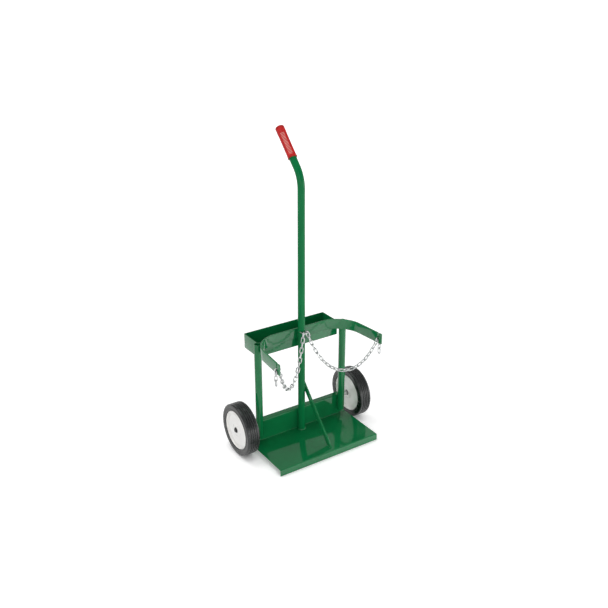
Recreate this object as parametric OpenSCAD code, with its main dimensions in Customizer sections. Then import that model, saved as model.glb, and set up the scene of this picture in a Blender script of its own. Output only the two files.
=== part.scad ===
// Gas cylinder trolley. Millimetres, +Z up, toe plate towards -Y, handle towards +Y.
// The origin lies on the floor under the middle of the trolley's outer box.

/* [Frame tube] */
// Outside diameter of the mast and of both posts
tube_d = 27; // [25:0.5:30]
// Wall of the mast and posts
tube_wall = 2.5; // [1.5:0.5:4]

/* [Base plate] */
// Width of the floor and its front lip
base_w = 438; // [415:1:450]
// From the front lip to the upright face
base_depth = 210; // [190:1:230]
// Sheet thickness of the folded base
plate_t = 3; // [2:0.5:4]
// Height of the floor's top, which is the depth of the front lip
lip_h = 25; // [20:1:32]
// Inside radius of the folds
fold_r = 1.5; // [1:0.5:3]
// Width of the upright face and its return
face_w = 400; // [392:1:410]
// Depth of the return over the axle
return_d = 24; // [20:1:30]
// How far the floor's side strips run on behind the face
floor_tab = 16; // [8:1:24]
// Slit between a side strip and the folded face
relief = 1.5; // [1:0.5:3]

/* [Posts] */
// Post centre from the middle
post_x = 188; // [180:1:192]
// Gap between the floor and a post's lower end
post_gap = 27; // [15:1:40]
// Height of the open top of a post
post_top = 441; // [425:1:450]

/* [Mast and grip] */
// Height where the mast starts to bend back
mast_bend_z = 982; // [900:1:1050]
// Centre-line radius of the bend
mast_bend_r = 107; // [80:1:140]
// Angle of the handle from upright
handle_angle = 43; // [32:1:50]
// Straight tube beyond the bend
handle_len = 157; // [155:1:200]
// Outside diameter of the grip
grip_d = 33; // [32:0.5:36]
// Length of the grip
grip_len = 126; // [110:1:150]
// Thickness of the grip's closed end
grip_cap = 4; // [3:0.5:8]
// Rounding of the grip's closed end
grip_round = 6; // [4:0.5:8]

/* [Tool tray] */
// Width of the tray
tray_w = 356; // [330:1:372]
// Depth of the tray
tray_depth = 98; // [80:1:120]
// Height of the tray's walls
tray_h = 58; // [45:1:70]
// Sheet thickness of the tray
tray_t = 2; // [1.5:0.5:3]
// Height of the tray's rim
tray_top = 434; // [424:1:440]

/* [Cylinder strap] */
// Height of the flat bar
strap_h = 40; // [38:1:44]
// Thickness of the flat bar
strap_t = 6; // [5:0.5:8]
// Height of the bar's top edge
strap_top = 452; // [446:1:458]
// Outside radius of the two bends
strap_bend_r = 107; // [95:1:118]
// Outward lean of each arm from straight ahead
strap_flare = 5; // [2:0.5:8]
// Straight length of each arm
arm_len = 121; // [110:1:130]
// Width of a chain slot
slot_w = 6; // [5.5:0.5:7]
// Depth of a chain slot from the top edge
slot_depth = 32; // [30:1:33]
// Slot centre from the end of the arm
slot_inset = 16; // [12:1:20]

/* [Brace] */
// Width of the brace bar
brace_w = 20; // [15:1:30]
// Thickness of the brace bar
brace_t = 6; // [4:0.5:8]
// Height of the brace's upper corner at its head
brace_top = 229; // [200:1:260]
// How far the brace's head runs past the mast's middle
brace_lap = 8; // [5:1:12]
// Brace foot from the front of the lip
brace_inset = 14; // [5:1:20]

/* [Axle and wheels] */
// Outside diameter of the tyres
wheel_d = 200; // [190:1:210]
// Width of the tyres
wheel_w = 50; // [46:1:54]
// Shoulder radius of the tyres
tyre_round = 9; // [7:0.5:10]
// Width of a tread groove
groove_w = 3; // [2:0.5:4]
// Depth of a tread groove
groove_depth = 2.5; // [1.5:0.5:4]
// Distance between tread grooves
groove_pitch = 8; // [7:0.5:9]
// Outside diameter of the pressed wheel discs
disc_d = 148; // [140:1:154]
// Sheet thickness of the wheel discs
disc_t = 2; // [1.5:0.5:3]
// How far the disc web lies inside the tyre's side
disc_recess = 6; // [5:0.5:8]
// How far the rolled disc edge lies inside the tyre's side
edge_recess = 2; // [1:0.5:3]
// Diameter of the raised middle of a disc
boss_d = 52; // [44:1:60]
// Height of the raised middle of a disc
boss_h = 3; // [2:0.5:4]
// Outside diameter of the hub tube
hub_d = 22; // [20:0.5:26]
// Length of the hub tube
hub_len = 44; // [42:0.5:46]
// Diameter of the axle
axle_d = 12; // [10:0.5:13]
// Radial running clearance between the axle and a hub
run_fit = 0.06; // [0.02:0.01:0.1]
// End play between a hub and its neighbours
end_play = 0.4; // [0.3:0.1:0.8]
// Outside diameter of the axle spacers
spacer_d = 18; // [16:0.5:20]
// Length of the axle spacers
spacer_len = 32.6; // [29.6:0.2:39.6]
// Diameter of the push-on axle caps
cap_d = 17; // [16:0.5:19]
// Thickness of the axle caps
cap_t = 4; // [3:0.5:5]

/* [Chains] */
// Wire of a chain link
link_wire = 4; // [3.6:0.1:4.2]
// Inside length of a chain link
link_in = 19; // [18:0.5:20]
// Inside width of a chain link
link_gap = 7; // [6.6:0.1:7.6]
// Slack between neighbouring links
link_play = 0.5; // [0.4:0.05:0.6]
// Slack where a drape hooks the mast loop and its slot link
hook_play = 0.8; // [0.6:0.05:0.9]
// Links in one drape
drape_links = 22; // [20:2:24]
// Links in one hanging tail
tail_links = 3; // [2:1:5]
// Height of the chain loop on the mast
loop_z = 445; // [440:1:450]
// Wire of the chain loop
loop_wire = 5; // [4.5:0.5:5.5]
// Centre-line radius of the chain loop
loop_r = 10.5; // [10:0.5:11]
// Loop centre in front of the mast
loop_out = 6; // [5:0.5:10]
// Angle below level where a drape hooks its slot link
hook_angle = 76; // [72:1:78]

/* [Hidden] */
$fn = 64;
eps = 1;
green = [0.05, 0.42, 0.2];
red = [0.76, 0.15, 0.13];
black = [0.13, 0.13, 0.14];
cream = [0.88, 0.87, 0.84];
zinc = [0.7, 0.71, 0.72];
dark = [0.08, 0.08, 0.09];

tube_r = tube_d / 2;
bore_d = tube_d - 2 * tube_wall;
// bends change the wall a little, and lap their straight neighbours by this angle
bend_gain = 0.2;
bend_lap = 0.5;
fold_out = fold_r + plate_t;
axle_z = wheel_d / 2;
face_top = axle_z + axle_d / 2 + plate_t;

// handle end, measured from the upright face
handle_back = mast_bend_r * (1 - cos(handle_angle)) + handle_len * sin(handle_angle) - tube_r;
grip_r = grip_d / 2;
grip_back = (grip_cap - grip_round) * sin(handle_angle) + (grip_r - grip_round) * cos(handle_angle) + grip_round;

// the bends touch both posts from inside
bend_reach = sqrt(pow(strap_bend_r + tube_r, 2) - pow(strap_bend_r - tube_r - strap_t, 2));
bend_x = post_x - bend_reach;
bend_back = strap_t - strap_bend_r;
arm_reach = arm_len * cos(strap_flare) - bend_back - (strap_bend_r - strap_t) * sin(strap_flare);

// front of the upright face, set so that the outer box is centred
front_reach = max(base_depth, arm_reach);
face_y = (front_reach - handle_back - grip_back) / 2;
mast_y = face_y - tube_r;
bend_y = face_y + bend_back;
axle_y = face_y + plate_t + axle_d / 2;

rim_r = disc_d / 2;
hub_in = face_w / 2 + spacer_len + end_play;
hub_out = hub_in + hub_len;
wheel_x = hub_in + hub_len / 2;
cap_in = hub_out + end_play;
web_z = wheel_w / 2 - disc_recess;
edge_z = wheel_w / 2 - edge_recess - disc_t / 2;

// chain link centre line: straight sides and half-round ends
link_r = (link_gap + link_wire) / 2;
link_side = link_in + link_wire - 2 * link_r;
link_pitch = link_in - link_play;

// slot link seat, in the frame of a bend: outward, ahead, height
slot_floor = strap_top - slot_depth;
slot_out = strap_bend_r - strap_t / 2;
slot_ahead = slot_inset - arm_len;
slot_z = slot_floor + link_wire / 2 + link_r;

// drape ends: on the chain loop and on the slot link
hook_out = slot_out - link_side / 2 - link_r * cos(hook_angle);
hook_z = slot_z - link_r * sin(hook_angle);
hook_x = bend_x + hook_out * cos(strap_flare) - slot_ahead * sin(strap_flare);
hook_y = bend_y + hook_out * sin(strap_flare) + slot_ahead * cos(strap_flare);
loop_y = mast_y - tube_r - loop_out;
drape_turn = atan2(hook_y - loop_y, hook_x);
drape_span = norm([hook_x, hook_y - loop_y]) - loop_r;
drape_drop = hook_z - loop_z;
drape_first = link_in / 2 - loop_wire / 2 - hook_play;
drape_last = link_in / 2 - link_wire / 2 - hook_play;
drape_run = drape_first + (drape_links - 1) * link_pitch + drape_last;
drape_twist = strap_flare - drape_turn;

// hanging curve z = c cosh(u / c)
drape_ratio = sqrt(drape_run * drape_run - drape_drop * drape_drop) / drape_span;
drape_half = sag_root(sqrt(6 * (drape_ratio - 1)), 24);
drape_c = drape_span / (2 * drape_half);
drape_low = drape_span / 2 - drape_c * asinh(drape_drop / (2 * drape_c * sinh(drape_half)));
tail_first = link_in / 2 - link_wire / 2 - link_play;

function sinh(v) = (exp(v) - exp(-v)) / 2;
function cosh(v) = (exp(v) + exp(-v)) / 2;
function asinh(v) = ln(v + sqrt(v * v + 1));
// Newton steps for sinh(v) / v = drape_ratio
function sag_step(v) = v - (sinh(v) - drape_ratio * v) / (cosh(v) - drape_ratio);
function sag_root(v, n) = n == 0 ? v : sag_root(sag_step(v), n - 1);

module tube(h) {
    difference() {
        cylinder(d = tube_d, h = h);
        translate([0, 0, -eps])
            cylinder(d = bore_d, h = h + 2 * eps);
    }
}

// extrude a drawing of Y and Z across the trolley
module across(w) {
    rotate([90, 0, 90])
        linear_extrude(height = w, center = true)
            children();
}

// turn a drawing of radius and axial place about the axle
module about_axle(x) {
    translate([x, axle_y, axle_z])
        rotate([0, 90, 0])
            rotate_extrude($fn = 96)
                children();
}

module mirrored(side) {
    mirror([side < 0 ? 1 : 0, 0, 0])
        children();
}

// quarter of a fold, its centre at the origin, in the quadrant given
module fold(sx, sy) {
    intersection() {
        difference() {
            circle(r = fold_out);
            circle(r = fold_r);
        }
        translate([sx < 0 ? -fold_out : 0, sy < 0 ? -fold_out : 0])
            square(fold_out);
    }
}

module floor_profile() {
    translate([fold_out - base_depth, lip_h - fold_out])
        fold(-1, 1);
    translate([-base_depth, 0])
        square([plate_t, lip_h - fold_out]);
    translate([fold_out - base_depth, lip_h - plate_t])
        square([base_depth - fold_out - fold_r, plate_t]);
}

module face_profile() {
    translate([-fold_r, lip_h + fold_r])
        fold(1, -1);
    translate([0, lip_h + fold_r])
        square([plate_t, face_top - fold_out - lip_h - fold_r]);
    translate([fold_out, face_top - fold_out])
        fold(-1, 1);
    translate([fold_out, face_top - plate_t])
        square([return_d - fold_out, plate_t]);
}

module base_plate() {
    color(green)
        translate([0, face_y, 0]) {
            across(base_w)
                floor_profile();
            across(face_w)
                face_profile();
            difference() {
                across(base_w)
                    translate([-fold_r - eps, lip_h - plate_t])
                        square([fold_r + eps + floor_tab, plate_t]);
                across(face_w + 2 * relief)
                    translate([-fold_r - 2 * eps, lip_h - 2 * plate_t])
                        square([fold_r + floor_tab + 3 * eps, 3 * plate_t]);
            }
        }
}

// frame of the mast's bend: its start on the upright tube, at the origin
module at_bend() {
    translate([0, mast_y, mast_bend_z])
        children();
}

// from the bend's start to the start of the handle's straight tube
module past_bend() {
    translate([0, mast_bend_r, 0])
        rotate([-handle_angle, 0, 0])
            translate([0, -mast_bend_r, 0])
                children();
}

// the mast's path filled to one diameter; the bend may differ, with a lap at both its ends
module mast_path(d, bend_d, lap, over) {
    translate([0, 0, lip_h - mast_bend_z - over])
        rotate([0, 0, -90])
            cylinder(d = d, h = mast_bend_z - lip_h + over);
    translate([0, mast_bend_r, 0])
        rotate([90, 0, 90])
            rotate_extrude(angle = handle_angle + 2 * lap, start = 180 - handle_angle - lap)
                translate([mast_bend_r, 0])
                    circle(d = bend_d);
    past_bend()
        rotate([0, 0, -90])
            cylinder(d = d, h = handle_len + over);
}

module mast_tube() {
    color(green)
        at_bend()
            difference() {
                mast_path(tube_d, tube_d, 0, 0);
                mast_path(bore_d, bore_d - bend_gain, bend_lap, eps);
            }
}

module handle_grip() {
    tip = handle_len + grip_cap;
    color(red)
        at_bend()
            past_bend()
                rotate_extrude()
                    difference() {
                        union() {
                            translate([0, tip - grip_len])
                                square([grip_r, grip_len - grip_round]);
                            translate([0, tip - grip_round])
                                square([grip_r - grip_round, grip_round]);
                            translate([grip_r - grip_round, tip - grip_round])
                                intersection() {
                                    circle(r = grip_round);
                                    square(grip_round);
                                }
                        }
                        translate([0, tip - grip_len - eps])
                            square([tube_r, grip_len - grip_cap + eps]);
                    }
}

module post(side) {
    color(green)
        translate([side * post_x, mast_y, lip_h + post_gap])
            tube(post_top - lip_h - post_gap);
}

module tool_tray() {
    color(green)
        translate([-tray_w / 2, face_y + strap_t, tray_top - tray_h])
            difference() {
                cube([tray_w, tray_depth, tray_h]);
                translate([tray_t, tray_t, tray_t])
                    cube([tray_w - 2 * tray_t, tray_depth - 2 * tray_t, tray_h]);
            }
}

// the frame of the right bend: X outward across the arm, -Y along it
module in_bend() {
    translate([bend_x, bend_y, 0])
        rotate([0, 0, strap_flare])
            children();
}

module strap_half() {
    in_r = strap_bend_r - strap_t;
    difference() {
        translate([bend_x, bend_y, strap_top - strap_h]) {
            translate([-bend_x, in_r, 0])
                cube([bend_x, strap_t, strap_h]);
            rotate_extrude(angle = 90 - strap_flare + 2 * bend_lap, start = strap_flare - bend_lap, $fn = 128)
                translate([in_r + bend_gain / 4, 0])
                    square([strap_t - bend_gain / 2, strap_h]);
            rotate([0, 0, strap_flare])
                translate([in_r, -arm_len, 0])
                    cube([strap_t, arm_len, strap_h]);
        }
        in_bend()
            translate([slot_out - strap_t, slot_ahead - slot_w / 2, slot_floor])
                cube([2 * strap_t, slot_w, slot_depth + eps]);
    }
}

module cylinder_strap() {
    color(green) {
        strap_half();
        mirror([1, 0, 0])
            strap_half();
    }
}

// flat bar on edge, flat against the right flank of the mast
module brace_bar() {
    head_y = mast_y + brace_lap;
    foot_y = face_y - base_depth + brace_inset;
    lean = atan2(head_y - foot_y, brace_top - lip_h);
    color(green)
        translate([tube_r + brace_t / 2, 0, 0])
            across(brace_t)
                polygon([[head_y, brace_top],
                    [foot_y, lip_h],
                    [foot_y + brace_w / cos(lean), lip_h],
                    [head_y, brace_top - brace_w / sin(lean)]]);
}

module chain_loop() {
    color(zinc)
        difference() {
            translate([0, loop_y, loop_z]) {
                rotate_extrude(angle = 180, start = 180)
                    translate([loop_r, 0])
                        circle(d = loop_wire, $fn = 32);
                for (s = [-1, 1])
                    translate([s * loop_r, 0, 0])
                        rotate([-90, 0, 0])
                            cylinder(d = loop_wire, h = mast_y - loop_y, $fn = 32);
            }
            translate([0, mast_y, loop_z - loop_wire])
                cylinder(d = tube_d, h = 2 * loop_wire);
        }
}

module axle() {
    color(dark)
        translate([-cap_in - cap_t / 2, axle_y, axle_z])
            rotate([0, 90, 0])
                cylinder(d = axle_d, h = 2 * cap_in + cap_t);
}

module axle_spacers() {
    color(zinc)
        for (side = [-1, 1])
            mirrored(side)
                about_axle(face_w / 2)
                    translate([axle_d / 2 + run_fit, 0])
                        square([spacer_d / 2 - axle_d / 2 - run_fit, spacer_len]);
}

module axle_caps() {
    color(dark)
        for (side = [-1, 1])
            mirrored(side)
                about_axle(cap_in)
                    difference() {
                        union() {
                            square([cap_d / 2, cap_t / 2]);
                            square([cap_d / 2 - cap_t / 2, cap_t]);
                            translate([cap_d / 2 - cap_t / 2, cap_t / 2])
                                intersection() {
                                    circle(d = cap_t);
                                    square(cap_t);
                                }
                        }
                        translate([0, -eps])
                            square([axle_d / 2, cap_t / 2 + eps]);
                    }
}

module tyre(side) {
    r = wheel_d / 2;
    color(black)
        mirrored(side)
            about_axle(wheel_x)
                difference() {
                    union() {
                        translate([rim_r, -wheel_w / 2])
                            square([r - rim_r - tyre_round, wheel_w]);
                        translate([rim_r, tyre_round - wheel_w / 2])
                            square([r - rim_r, wheel_w - 2 * tyre_round]);
                        for (s = [-1, 1])
                            translate([r - tyre_round, s * (wheel_w / 2 - tyre_round)])
                                circle(r = tyre_round);
                    }
                    for (k = [-1.5:1:1.5])
                        translate([r - groove_depth, k * groove_pitch - groove_w / 2])
                            square([groove_depth + eps, groove_w]);
                }
}

// one pressed half of a wheel: rim wall, rolled edge, web and raised middle
module disc_profile() {
    slope = 2 * boss_h;
    translate([rim_r - disc_t, end_play])
        square([disc_t, edge_z - end_play]);
    translate([rim_r - disc_t / 2, edge_z])
        circle(d = disc_t, $fn = 32);
    translate([boss_d / 2, web_z - disc_t])
        square([rim_r - boss_d / 2 - disc_t / 2, disc_t]);
    polygon([[hub_d / 2, web_z + boss_h - disc_t],
        [boss_d / 2 - slope, web_z + boss_h - disc_t],
        [boss_d / 2, web_z - disc_t],
        [boss_d / 2, web_z],
        [boss_d / 2 - slope, web_z + boss_h],
        [hub_d / 2, web_z + boss_h]]);
}

module disc(side, out) {
    color(cream)
        mirrored(side)
            about_axle(wheel_x)
                mirror([0, out < 0 ? 1 : 0])
                    disc_profile();
}

module hub(side) {
    color(dark)
        mirrored(side)
            about_axle(hub_in)
                translate([axle_d / 2 + run_fit, 0])
                    square([hub_d / 2 - axle_d / 2 - run_fit, hub_len]);
}

// one chain link along X, lying flat in X and Y
module link() {
    for (s = [-1, 1]) {
        translate([s * link_side / 2, 0, 0])
            rotate_extrude(angle = 180, start = s * 90 - 180, $fn = 32)
                translate([link_r, 0])
                    circle(d = link_wire, $fn = 20);
        translate([-link_side / 2, s * link_r, 0])
            rotate([0, 90, 0])
                cylinder(d = link_wire, h = link_side, $fn = 20);
    }
}

module slot_links() {
    color(zinc)
        for (side = [-1, 1])
            mirrored(side)
                in_bend()
                    translate([slot_out, slot_ahead, slot_z])
                        rotate([90, 0, 0])
                            link();
}

module drape(side) {
    color(zinc)
        mirrored(side)
            for (i = [0:drape_links - 1]) {
                w = asinh((drape_first + i * link_pitch) / drape_c - sinh(drape_low / drape_c));
                u = loop_r + drape_low + drape_c * w;
                z = loop_z + drape_c * (cosh(w) - cosh(drape_low / drape_c));
                roll = (i % 2 == 0 ? 90 : 0) + drape_twist * i / (drape_links - 1);
                translate([u * cos(drape_turn), loop_y + u * sin(drape_turn), z])
                    rotate([0, 0, drape_turn])
                        rotate([0, -atan(sinh(w)), 0])
                            rotate([roll, 0, 0])
                                link();
            }
}

module tail(side) {
    color(zinc)
        mirrored(side)
            in_bend()
                translate([slot_out + link_side / 2, slot_ahead, slot_z - link_r])
                    rotate([0, 90, 0])
                        for (i = [0:tail_links - 1])
                            translate([tail_first + i * link_pitch, 0, 0])
                                rotate([i % 2 == 0 ? 0 : 90, 0, 0])
                                    link();
}

base_plate();
mast_tube();
handle_grip();
post(-1);  // left_post
post(1);  // right_post
tool_tray();
cylinder_strap();
brace_bar();
chain_loop();
axle();
axle_spacers();
axle_caps();
tyre(-1);  // left_tyre
disc(-1, 1);  // left_outer_disc
disc(-1, -1);  // left_inner_disc
hub(-1);  // left_hub
tyre(1);  // right_tyre
disc(1, 1);  // right_outer_disc
disc(1, -1);  // right_inner_disc
hub(1);  // right_hub
slot_links();
drape(-1);  // left_drape
drape(1);  // right_drape
tail(-1);  // left_tail
tail(1);  // right_tail
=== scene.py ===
import bpy
import math
import numpy as np
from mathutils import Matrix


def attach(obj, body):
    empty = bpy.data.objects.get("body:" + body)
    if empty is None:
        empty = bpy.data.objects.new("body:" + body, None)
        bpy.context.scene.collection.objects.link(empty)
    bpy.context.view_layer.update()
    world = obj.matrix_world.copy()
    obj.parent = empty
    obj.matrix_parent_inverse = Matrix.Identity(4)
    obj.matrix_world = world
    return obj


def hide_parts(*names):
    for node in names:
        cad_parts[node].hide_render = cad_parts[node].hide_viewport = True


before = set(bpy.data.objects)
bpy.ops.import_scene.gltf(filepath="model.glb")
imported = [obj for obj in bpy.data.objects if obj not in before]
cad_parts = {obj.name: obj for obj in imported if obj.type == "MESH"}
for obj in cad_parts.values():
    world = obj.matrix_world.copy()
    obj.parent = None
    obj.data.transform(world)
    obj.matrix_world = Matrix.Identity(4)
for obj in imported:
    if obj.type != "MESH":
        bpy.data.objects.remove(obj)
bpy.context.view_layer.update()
scene = bpy.context.scene
print("trolley: frame loaded,", len(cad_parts), "nodes")

# lengths are millimetres in the trolley's own frame and become metres when a mesh is made
mm = 0.001
place = {"faceY": 39.0514, "mastY": 25.5514, "axleY": 48.0514, "axleZ": 100.0, "floorTop": 25.0}
faceY, mastY, floorTop = place["faceY"], place["mastY"], place["floorTop"]
axleAt = np.array([0, place["axleY"], place["axleZ"]])
xAxis, yAxis, zAxis = np.eye(3)
flipX = np.array([-1, 1, 1])  # right side to left side
smoothDeg = 38  # a sharper turn between two faces shows as an edge


def unit(rows):
    # each row over its own length
    return rows / np.maximum(np.linalg.norm(rows, axis=1), 1e-9)[:, None]


def fillet(corners, radii, steps=5):
    # closed outline: each corner becomes an arc of its radius that touches both its edges
    pts = np.array(corners, float)
    before, after = np.roll(pts, 1, 0) - pts, np.roll(pts, -1, 0) - pts
    shorter = np.minimum(np.linalg.norm(before, axis=1), np.linalg.norm(after, axis=1))
    before, after = unit(before), unit(after)
    half = np.arccos(np.clip((before * after).sum(1), -1, 1)) / 2
    reach = np.minimum(np.array(radii, float) / np.tan(half), 0.49 * shorter)  # from the corner to the arc's ends
    centre = pts + unit(before + after) * (reach * np.tan(half) / np.sin(half))[:, None]
    first, last = pts + before * reach[:, None] - centre, pts + after * reach[:, None] - centre
    turn = np.arctan2(first[:, 0] * last[:, 1] - first[:, 1] * last[:, 0], (first * last).sum(1))
    a = turn[:, None] * np.linspace(0, 1, steps)[None, :]
    ring = np.stack([first[:, :1] * np.cos(a) - first[:, 1:] * np.sin(a),
                     first[:, :1] * np.sin(a) + first[:, 1:] * np.cos(a)], 2) + centre[:, None, :]
    return ring.reshape(-1, 2)


def roundRect(w, h, r, steps=4):
    # rounded rectangle about the origin
    return fillet([(-w / 2, -h / 2), (w / 2, -h / 2), (w / 2, h / 2), (-w / 2, h / 2)], [r] * 4, steps)


def ringOf(radius, sides):
    # circle: radius * (cos a, sin a)
    a = np.linspace(0, 2 * np.pi, sides, endpoint=False)
    return radius * np.stack([np.cos(a), np.sin(a)], 1)


def arcOf(centre, radius, startDeg, endDeg, steps=9):
    # arc: centre + radius * (cos a, sin a)
    a = np.radians(np.linspace(startDeg, endDeg, steps))
    return np.array(centre) + radius * np.stack([np.cos(a), np.sin(a)], 1)


def skin(grid, wrapU=False, wrapV=True, caps=False):
    # quads between neighbours of a grid of points, closed round where asked, flat caps on the first and last row
    nu, nv = grid.shape[:2]
    index = np.arange(nu * nv).reshape(nu, nv)
    rowA, rowB = (index, np.roll(index, -1, 0)) if wrapU else (index[:-1], index[1:])
    quads = np.stack([rowA, np.roll(rowA, -1, 1), np.roll(rowB, -1, 1), rowB], 2)
    quads = (quads if wrapV else quads[:, :-1]).reshape(-1, 4)
    return grid.reshape(-1, 3), quads, [index[0][::-1], index[-1]] if caps else []


def outward(shell):
    # turns a closed shell round if its signed volume, the sum of a.(b x c) over its triangles, is negative
    verts, quads, caps = shell
    a, b, c, d = (verts - verts.mean(0))[quads].transpose(1, 0, 2)
    volume = (a * np.cross(b, c)).sum() + (a * np.cross(c, d)).sum()
    return shell if volume >= 0 else (verts, quads[:, ::-1], [cap[::-1] for cap in caps])


def mirrored(shells, side):
    # x becomes -x on the left, and each shell is turned to face outwards again
    return shells if side > 0 else [outward((verts * flipX, quads, caps)) for verts, quads, caps in shells]


def sweep(path, across, up, section):
    # point(s, t) = path(s) + section_x(t) * across(s) + section_y(t) * up(s), flat at both ends
    across, up = np.broadcast_to(across, path.shape), np.broadcast_to(up, path.shape)
    grid = path[:, None] + section[None, :, :1] * across[:, None] + section[None, :, 1:] * up[:, None]
    return outward(skin(grid, caps=True))


def revolve(outline, centre, axis, side, steps, caps=False, ripple=None):
    # point(s, a) = centre + axis * z(s) + r(s, a) * (cos a * side + sin a * other); outline holds (r, z)
    a = np.linspace(0, 2 * np.pi, steps, endpoint=False)
    spoke = np.cos(a)[:, None] * side + np.sin(a)[:, None] * np.cross(axis, side)
    r = np.repeat(outline[:, :1], steps, 1)
    r = r if ripple is None else r + ripple(outline, a)
    grid = centre + outline[:, 1][:, None, None] * axis + r[:, :, None] * spoke[None]
    return outward(skin(grid, wrapU=not caps, caps=caps))


def pieceOf(name, shells, body, finish, node=None):
    # joins the shells into one mesh at the origin, rides it on its body and hides the solid it stands for
    starts = np.cumsum([0] + [len(shell[0]) for shell in shells])
    verts = np.concatenate([shell[0] for shell in shells]) * mm
    faces = np.concatenate([shell[1] + start for shell, start in zip(shells, starts)]).tolist()
    faces += [(cap + start).tolist() for shell, start in zip(shells, starts) for cap in shell[2]]
    mesh = bpy.data.meshes.new(name)
    mesh.from_pydata(verts.tolist(), [], faces)
    mesh.polygons.foreach_set("use_smooth", np.ones(len(mesh.polygons), bool))
    mesh.set_sharp_from_angle(angle=math.radians(smoothDeg))
    mesh.materials.append(finish)
    mesh.update()
    obj = bpy.data.objects.new(name, mesh)
    scene.collection.objects.link(obj)
    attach(obj, body)
    if node:
        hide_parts(node)


def linear(code):
    # screen colour code to linear light
    v = np.array([int(code[i:i + 2], 16) for i in (0, 2, 4)]) / 255
    v = np.where(v <= 0.04045, v / 12.92, ((v + 0.055) / 1.055) ** 2.4)
    return (*v.tolist(), 1.0)


def grey(v):
    return (v, v, v, 1.0)


class Wire:  # one socket of a material, with its arithmetic
    def __init__(self, finish, socket):
        self.finish, self.socket = finish, socket

    def calc(self, kind, a, b):
        return self.finish.make("ShaderNodeMath", {"operation": kind}, {0: a, 1: b})

    def __add__(self, o): return self.calc("ADD", self, o)
    def __radd__(self, o): return self.calc("ADD", o, self)
    def __sub__(self, o): return self.calc("SUBTRACT", self, o)
    def __rsub__(self, o): return self.calc("SUBTRACT", o, self)
    def __mul__(self, o): return self.calc("MULTIPLY", self, o)
    def __rmul__(self, o): return self.calc("MULTIPLY", o, self)
    def __gt__(self, o): return self.calc("GREATER_THAN", self, o)
    def __lt__(self, o): return self.calc("LESS_THAN", self, o)

    def band(self, low, high):  # 0 below low, 1 above high, smooth between
        return self.finish.make("ShaderNodeMapRange", {"interpolation_type": "SMOOTHSTEP"},
                                {"Value": self, "From Min": low, "From Max": high})


class Finish:  # one material, or the world round the trolley, and the nodes added to it
    def __init__(self, name, world=False):
        self.mat = bpy.data.worlds.new(name) if world else bpy.data.materials.new(name)
        self.mat.use_nodes = True
        self.nodes, self.links = self.mat.node_tree.nodes, self.mat.node_tree.links
        self.shader = self.nodes["Background" if world else "Principled BSDF"]
        self.coords = self.make("ShaderNodeTexCoord", {}, {}, "Generated" if world else "Object")

    def feed(self, socket, value):
        if isinstance(value, Wire):
            self.links.new(value.socket, socket)
        else:
            socket.default_value = value

    def make(self, kind, settings, sockets, out=0):
        node = self.nodes.new(kind)
        for key, value in settings.items():
            if key == "stops":
                ramp = node.color_ramp.elements
                ramp[0].position, ramp[0].color = value[0]
                ramp[1].position, ramp[1].color = value[-1]
                for spot, colour in value[1:-1]:
                    ramp.new(spot).color = colour
            else:
                setattr(node, key, value)
        for key, value in sockets.items():
            self.feed(node.inputs[key], value)
        return Wire(self, node.outputs[out])

    def noise(self, scale, detail=3.0, where=None):
        return self.make("ShaderNodeTexNoise", {}, {"Vector": where or self.coords, "Scale": scale,
                                                    "Detail": detail, "Roughness": 0.55})

    def vector(self, kind, a, b=(0, 0, 0), out="Vector"):
        return self.make("ShaderNodeVectorMath", {"operation": kind}, {0: a, 1: tuple(b)}, out)

    def dot(self, way):  # distance along a direction
        return self.vector("DOT_PRODUCT", self.coords, way, "Value")

    def axis(self, letter):
        return self.make("ShaderNodeSeparateXYZ", {}, {0: self.coords}, letter)

    def blend(self, share, a, b):  # sockets 6 and 7 and output 2 are Mix's colours
        return self.make("ShaderNodeMix", {"data_type": "RGBA"}, {0: share, 6: a, 7: b}, 2)

    def bump(self, height, depth):
        return self.make("ShaderNodeBump", {}, {"Strength": 1.0, "Distance": depth, "Height": height}, "Normal")

    def dress(self, sockets):
        for key, value in sockets.items():
            self.feed(self.shader.inputs[key], value)
        return self.mat


# finishes shared by several pieces: colours are screen codes, patterns are repeats per metre, depths are metres
enamelLook = {"deep": "0a6e3d", "bright": "0c7a45", "dust": "9fb3a4", "dustShare": 0.35, "driftScale": 6.0,
              "patchScale": 9.0, "waveScale": 60.0, "peelScale": 420.0, "speckScale": 900.0, "peelDepth": 0.00003}


def greenPaint(name, rough, shine, coat):
    # gloss enamel: slow colour drift, orange-peel bump, a few specks of dust in patches
    d, f = enamelLook, Finish(name)
    drift, peel, wave = f.noise(d["driftScale"], 4.0), f.noise(d["peelScale"], 2.0), f.noise(d["waveScale"])
    speck, patch = f.noise(d["speckScale"], 1.0), f.noise(d["patchScale"])
    dust = speck.band(0.66, 0.76) * patch.band(0.45, 0.7) * d["dustShare"]
    colour = f.blend(drift.band(0.3, 0.7), linear(d["deep"]), linear(d["bright"]))
    colour = f.blend(dust, colour, linear(d["dust"]))
    return f.dress({"Base Color": colour, "Roughness": drift * 0.05 + rough + dust * 0.3,
                    "Specular IOR Level": shine, "Coat Weight": coat, "Coat Roughness": 0.04,
                    "Normal": f.bump(peel + wave * 0.3, d["peelDepth"])})


zincLook = {"dull": "adafb1", "bright": "dddedc", "spangleScale": 90.0, "grainScale": 900.0,
            "grainDepth": 0.00005}


def zincPlate(name):
    # bright zinc: cloudy spangle in colour and roughness
    d, f = zincLook, Finish(name)
    spangle = f.noise(d["spangleScale"], 4.0)
    return f.dress({"Base Color": f.blend(spangle.band(0.35, 0.7), linear(d["dull"]), linear(d["bright"])),
                    "Metallic": 1.0, "Roughness": spangle * 0.22 + 0.2,
                    "Normal": f.bump(f.noise(d["grainScale"], 2.0), d["grainDepth"])})


steelLook = {"dark": "2a2b2d", "light": "4a4b4e", "cloudScale": 70.0, "turning": 9000.0, "turningDepth": 0.00003}


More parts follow.
